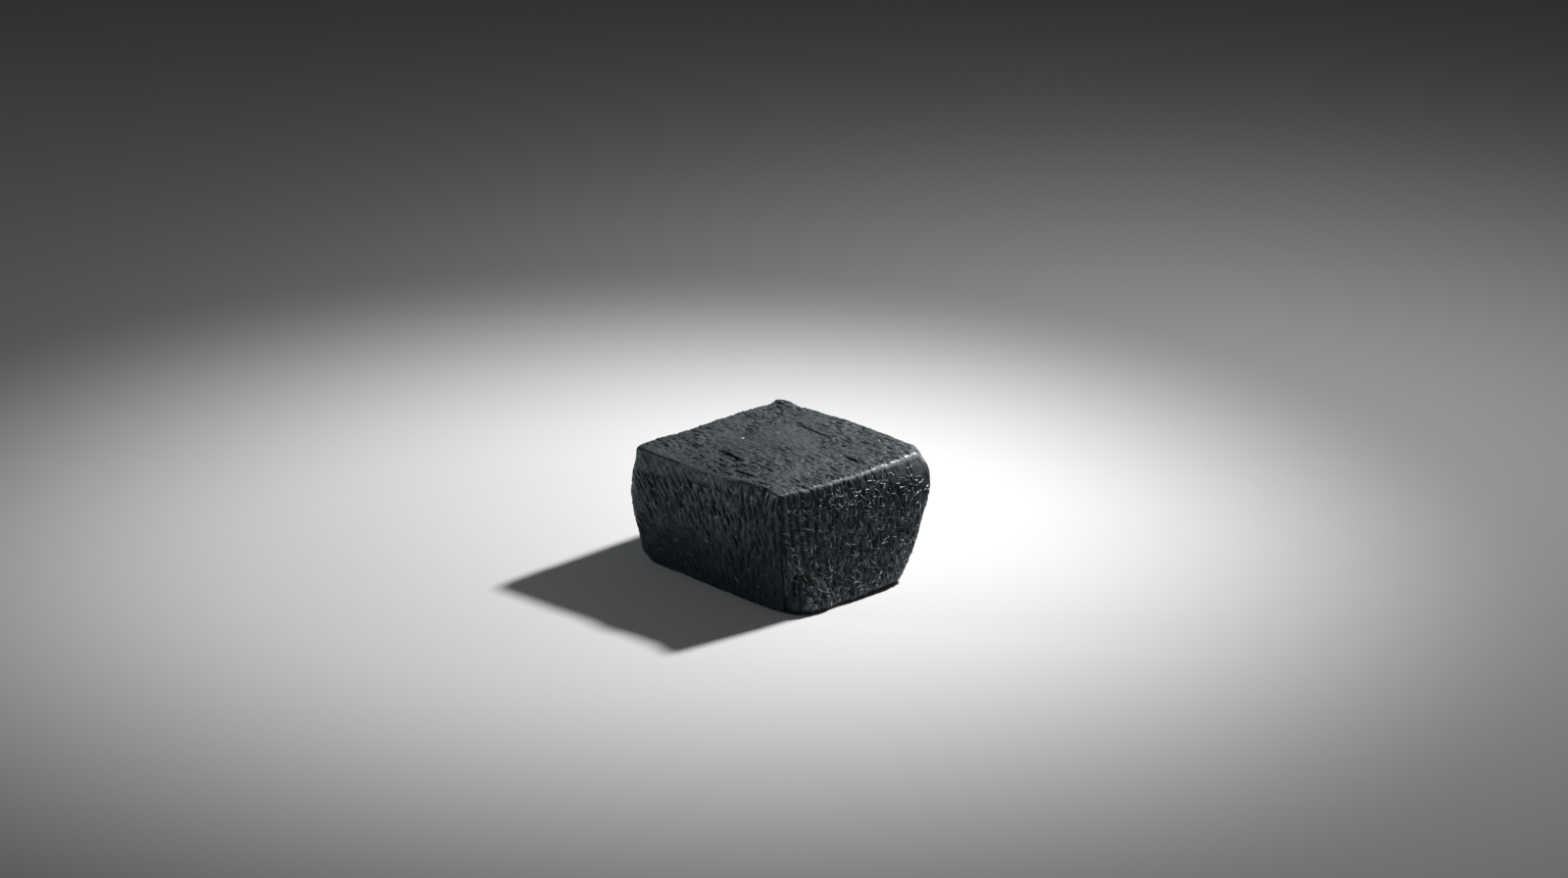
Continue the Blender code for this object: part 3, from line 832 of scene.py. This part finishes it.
class Nodes:
    """Short calls for making and joining the nodes of one material."""

    def __init__(self, name):
        self.material = bpy.data.materials.new(name)
        self.material.use_nodes = True
        self.tree = self.material.node_tree
        self.surface = self.tree.nodes["Principled BSDF"]

    def add(self, kind, values=(), **settings):
        """Adds a node, sets its properties and input values, and joins inputs that are given as sockets."""
        node = self.tree.nodes.new("ShaderNode" + kind)
        for key, value in settings.items():
            setattr(node, key, value)
        for key, value in dict(values).items():
            self.put(node.inputs[key], value)
        return node

    def put(self, socket, value):
        """Joins a socket to another, or sets its value."""
        if isinstance(value, bpy.types.NodeSocket):
            self.tree.links.new(value, socket)
        else:
            socket.default_value = value

    def kept(self, name, output="Fac"):
        """A value that the mesh keeps for each point."""
        return self.add("Attribute", attribute_name=name).outputs[output]

    def noise(self, place, size, detail=3.0, roughness=0.6):
        """Noise with features of the given size along each axis of the place."""
        scale = tuple(1.0 / length for length in size)
        moved = self.add("Mapping", {"Vector": place, "Scale": scale}).outputs["Vector"]
        values = {"Vector": moved, "Scale": 1.0, "Detail": detail, "Roughness": roughness}
        return self.add("TexNoise", values).outputs["Fac"]

    def ramp(self, value, low, high, low_at=0.0, high_at=1.0):
        """Carries a value between two limits, straight between."""
        values = {"Value": value, "From Min": low_at, "From Max": high_at, "To Min": low, "To Max": high}
        return self.add("MapRange", values).outputs["Result"]

    def by_distance(self, place, middle, start, end, near=0.0, far=1.0):
        """Goes smoothly from a near to a far value between two distances from a middle."""
        away = self.add("VectorMath", {0: place, 1: middle}, operation="DISTANCE").outputs["Value"]
        values = {"Value": away, "From Min": start, "From Max": end, "To Min": near, "To Max": far}
        return self.add("MapRange", values, interpolation_type="SMOOTHSTEP").outputs["Result"]

    def maths(self, operation, first, second):
        """The result of a sum, a product or the like of two values."""
        return self.add("Math", {0: first, 1: second}, operation=operation).outputs[0]

    def mix_colour(self, share, first, second):
        """Two colours mixed, the second with the given share."""
        values = {MIX_SHARE: share, MIX_FIRST: first, MIX_SECOND: second}
        return self.add("Mix", values, data_type="RGBA").outputs[MIX_RESULT]

    def finish(self, values):
        """Gives the surface its values, by input name, and returns the material."""
        for name, value in values.items():
            self.put(self.surface.inputs[name], value)
        return self.material


def char_material():
    """Cool dark grey char: painted shade in its cuts and furrows, paler and slightly glossy crests, a
    painted highlight along the top's right edge, fine gritty bump.
    """
    nodes = Nodes("char")
    place = nodes.add("TexCoord").outputs["Object"]
    grain = nodes.kept("grain", "Vector")
    top = nodes.kept("top")
    fibre_noise = nodes.noise(grain, FIBRE_SIZE, detail=2.0, roughness=0.5)
    dash_noise = nodes.noise(grain, DASH_SIZE, detail=2.0, roughness=0.5)
    grit = nodes.noise(place, (GRIT_SIZE,) * 3, roughness=0.7)
    patches = nodes.noise(place, (PATCH_SIZE,) * 3)
    gloss_spots = nodes.noise(place, (GLOSS_SPOT_SIZE,) * 3, detail=2.0)

    # Painted shade in fibres and dashes too fine for the mesh, and in the cuts.
    fibres = nodes.ramp(fibre_noise, 1.0, 0.0, *FIBRE_LEVELS)
    dashes = nodes.ramp(dash_noise, 1.0, 0.0, *DASH_LEVELS)
    fine = nodes.maths("MAXIMUM", fibres, nodes.maths("MULTIPLY", dashes, DASH_SHARE))
    dark = nodes.maths("MAXIMUM", nodes.kept("cut"), nodes.maths("MULTIPLY", fine, FINE_DARKNESS))

    # Painted shade in the furrows and paler crests, with paler and duller patches at random.
    high = nodes.maths("MULTIPLY", nodes.kept("crest"), nodes.ramp(patches, *PATCH_PALENESS, *PATCH_LEVELS))
    crests = nodes.mix_colour(high, FURROW_SHADE_COLOUR, CREST_COLOUR)
    pale = nodes.maths("MULTIPLY", top, nodes.ramp(grit, *TOP_PALENESS, *GRIT_LEVELS))
    body = nodes.mix_colour(pale, crests, TOP_COLOUR)
    # Painted highlight along the top's right edge.
    worn = nodes.mix_colour(nodes.kept("highlit_rim"), body, RIM_HIGHLIGHT_COLOUR)

    shine = nodes.ramp(gloss_spots, *CHAR_ROUGHNESS, *GLOSS_SPOT_LEVELS)
    dull_cuts = nodes.maths("MULTIPLY", dark, CUT_ROUGHER)
    dull_top = nodes.maths("MULTIPLY", top, TOP_ROUGHER)
    roughness = nodes.maths("ADD", shine, nodes.maths("ADD", dull_cuts, dull_top))
    gloss = nodes.maths("MULTIPLY", nodes.ramp(top, SIDE_GLOSS, TOP_GLOSS), nodes.kept("unshaded"))

    deep = nodes.maths("MULTIPLY", fine, -FINE_DEPTH)
    rough = nodes.maths("MULTIPLY", grit, nodes.ramp(top, SIDE_GRIT_HEIGHT, TOP_GRIT_HEIGHT))
    height = nodes.maths("ADD", deep, rough)
    bump = nodes.add("Bump", {"Height": height, "Strength": 1.0, "Distance": 1.0})
    return nodes.finish({
        "Base Color": nodes.mix_colour(dark, worn, CUT_SHADE_COLOUR),
        "Roughness": roughness,
        "Specular IOR Level": gloss,
        "Specular Tint": GLOSS_TINT,
        "Normal": bump.outputs["Normal"],
    })


def flake_material():
    """Slivers with painted glints: paler and glossier than the char, each a little different."""
    nodes = Nodes("flakes of char")
    # Pale colour of the slivers: a painted glint.
    colour = nodes.mix_colour(nodes.kept("pale"), DULL_FLAKE_COLOUR, GLINT_FLAKE_COLOUR)
    return nodes.finish({"Base Color": colour, "Roughness": FLAKE_ROUGHNESS})


def floor_material():
    """Pale floor with a painted pool of light: painted greyer away from the middle of the light, and
    painted shade below the key light.
    """
    nodes = Nodes("pale floor")
    place = nodes.add("TexCoord").outputs["Object"]
    # Painted pool of light: pale in its middle, greyer further out.
    outer = nodes.by_distance(place, FLOOR_MIDDLE, FLOOR_PALE_RADIUS, FLOOR_GREY_RADIUS)
    plain = nodes.mix_colour(outer, FLOOR_COLOUR, FLOOR_PAINTED_FALLOFF_COLOUR)
    # Painted shade below the key light.
    under_key = (*KEY_PLACE[:2], 0.0)
    share = nodes.by_distance(place, under_key, 0.0, FLOOR_PAINTED_SHADE_RADIUS, near=FLOOR_PAINTED_SHADE_SHARE)
    colour = nodes.mix_colour(share, BLACK, plain)
    return nodes.finish({
        "Base Color": colour,
        "Roughness": FLOOR_ROUGHNESS,
        "Specular IOR Level": FLOOR_GLOSS,
    })


def add_object(name, data):
    """Puts new data into the scene as an object."""
    item = bpy.data.objects.new(name, data)
    bpy.context.scene.collection.objects.link(item)
    return item


def make_lump():
    """The finely grained lump, in place of the plain node, and the slivers that stand off it."""
    mesh = thinned(lump_mesh())
    mesh.materials.clear()
    mesh.materials.append(char_material())
    lump = add_object("charcoal", mesh)
    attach(lump, "root")
    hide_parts("charcoal_lump")
    surface = BVHTree.FromPolygons([v.co for v in mesh.vertices], [p.vertices for p in mesh.polygons])
    slivers = flake_mesh(surface)
    slivers.materials.append(flake_material())
    flakes = add_object("flakes", slivers)
    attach(flakes, "root")


def make_floor():
    """A wide plain floor under the lump."""
    sheet = bmesh.new()
    bmesh.ops.create_grid(sheet, x_segments=1, y_segments=1, size=FLOOR_SIZE / 2)
    mesh = bpy.data.meshes.new("floor")
    sheet.to_mesh(mesh)
    sheet.free()
    mesh.materials.append(floor_material())
    add_object("floor", mesh)


def make_lights():
    """A near key light high behind the lump, a weak soft one at its front left, and a weak even fill."""
    lamp = bpy.data.lights.new("key", "POINT")
    lamp.shadow_soft_size = KEY_RADIUS
    lamp.energy = KEY_POWER
    lamp.color = KEY_COLOUR
    add_object("key", lamp).location = KEY_PLACE
    panel = bpy.data.lights.new("front", "AREA")
    panel.size = FRONT_LIGHT_SIZE
    panel.energy = FRONT_LIGHT_POWER
    panel.color = FILL_COLOUR
    front = add_object("front", panel)
    front.location = FRONT_LIGHT_PLACE
    front.rotation_euler = Vector(FRONT_LIGHT_PLACE).to_track_quat("Z", "Y").to_euler()
    world = bpy.data.worlds.new("fill")
    world.use_nodes = True
    background = world.node_tree.nodes["Background"]
    background.inputs["Color"].default_value = (*FILL_COLOUR, 1.0)
    background.inputs["Strength"].default_value = FILL_STRENGTH
    bpy.context.scene.world = world


def make_camera():
    """The camera of the main view."""
    lens = bpy.data.cameras.new("camera")
    lens.sensor_width = SENSOR_MM
    lens.lens = LENS_MM
    azimuth, elevation = math.radians(VIEW_AZIMUTH), math.radians(VIEW_ELEVATION)
    back = Vector((
        math.sin(azimuth) * math.cos(elevation),
        -math.cos(azimuth) * math.cos(elevation),
        math.sin(elevation),
    ))
    camera = add_object("camera", lens)
    camera.location = Vector(AIM) + VIEW_DISTANCE * back
    camera.rotation_euler = back.to_track_quat("Z", "Y").to_euler()
    bpy.context.scene.camera = camera


make_camera()
make_floor()
make_lights()
make_lump()
bpy.context.scene.view_settings.view_transform = "Standard"
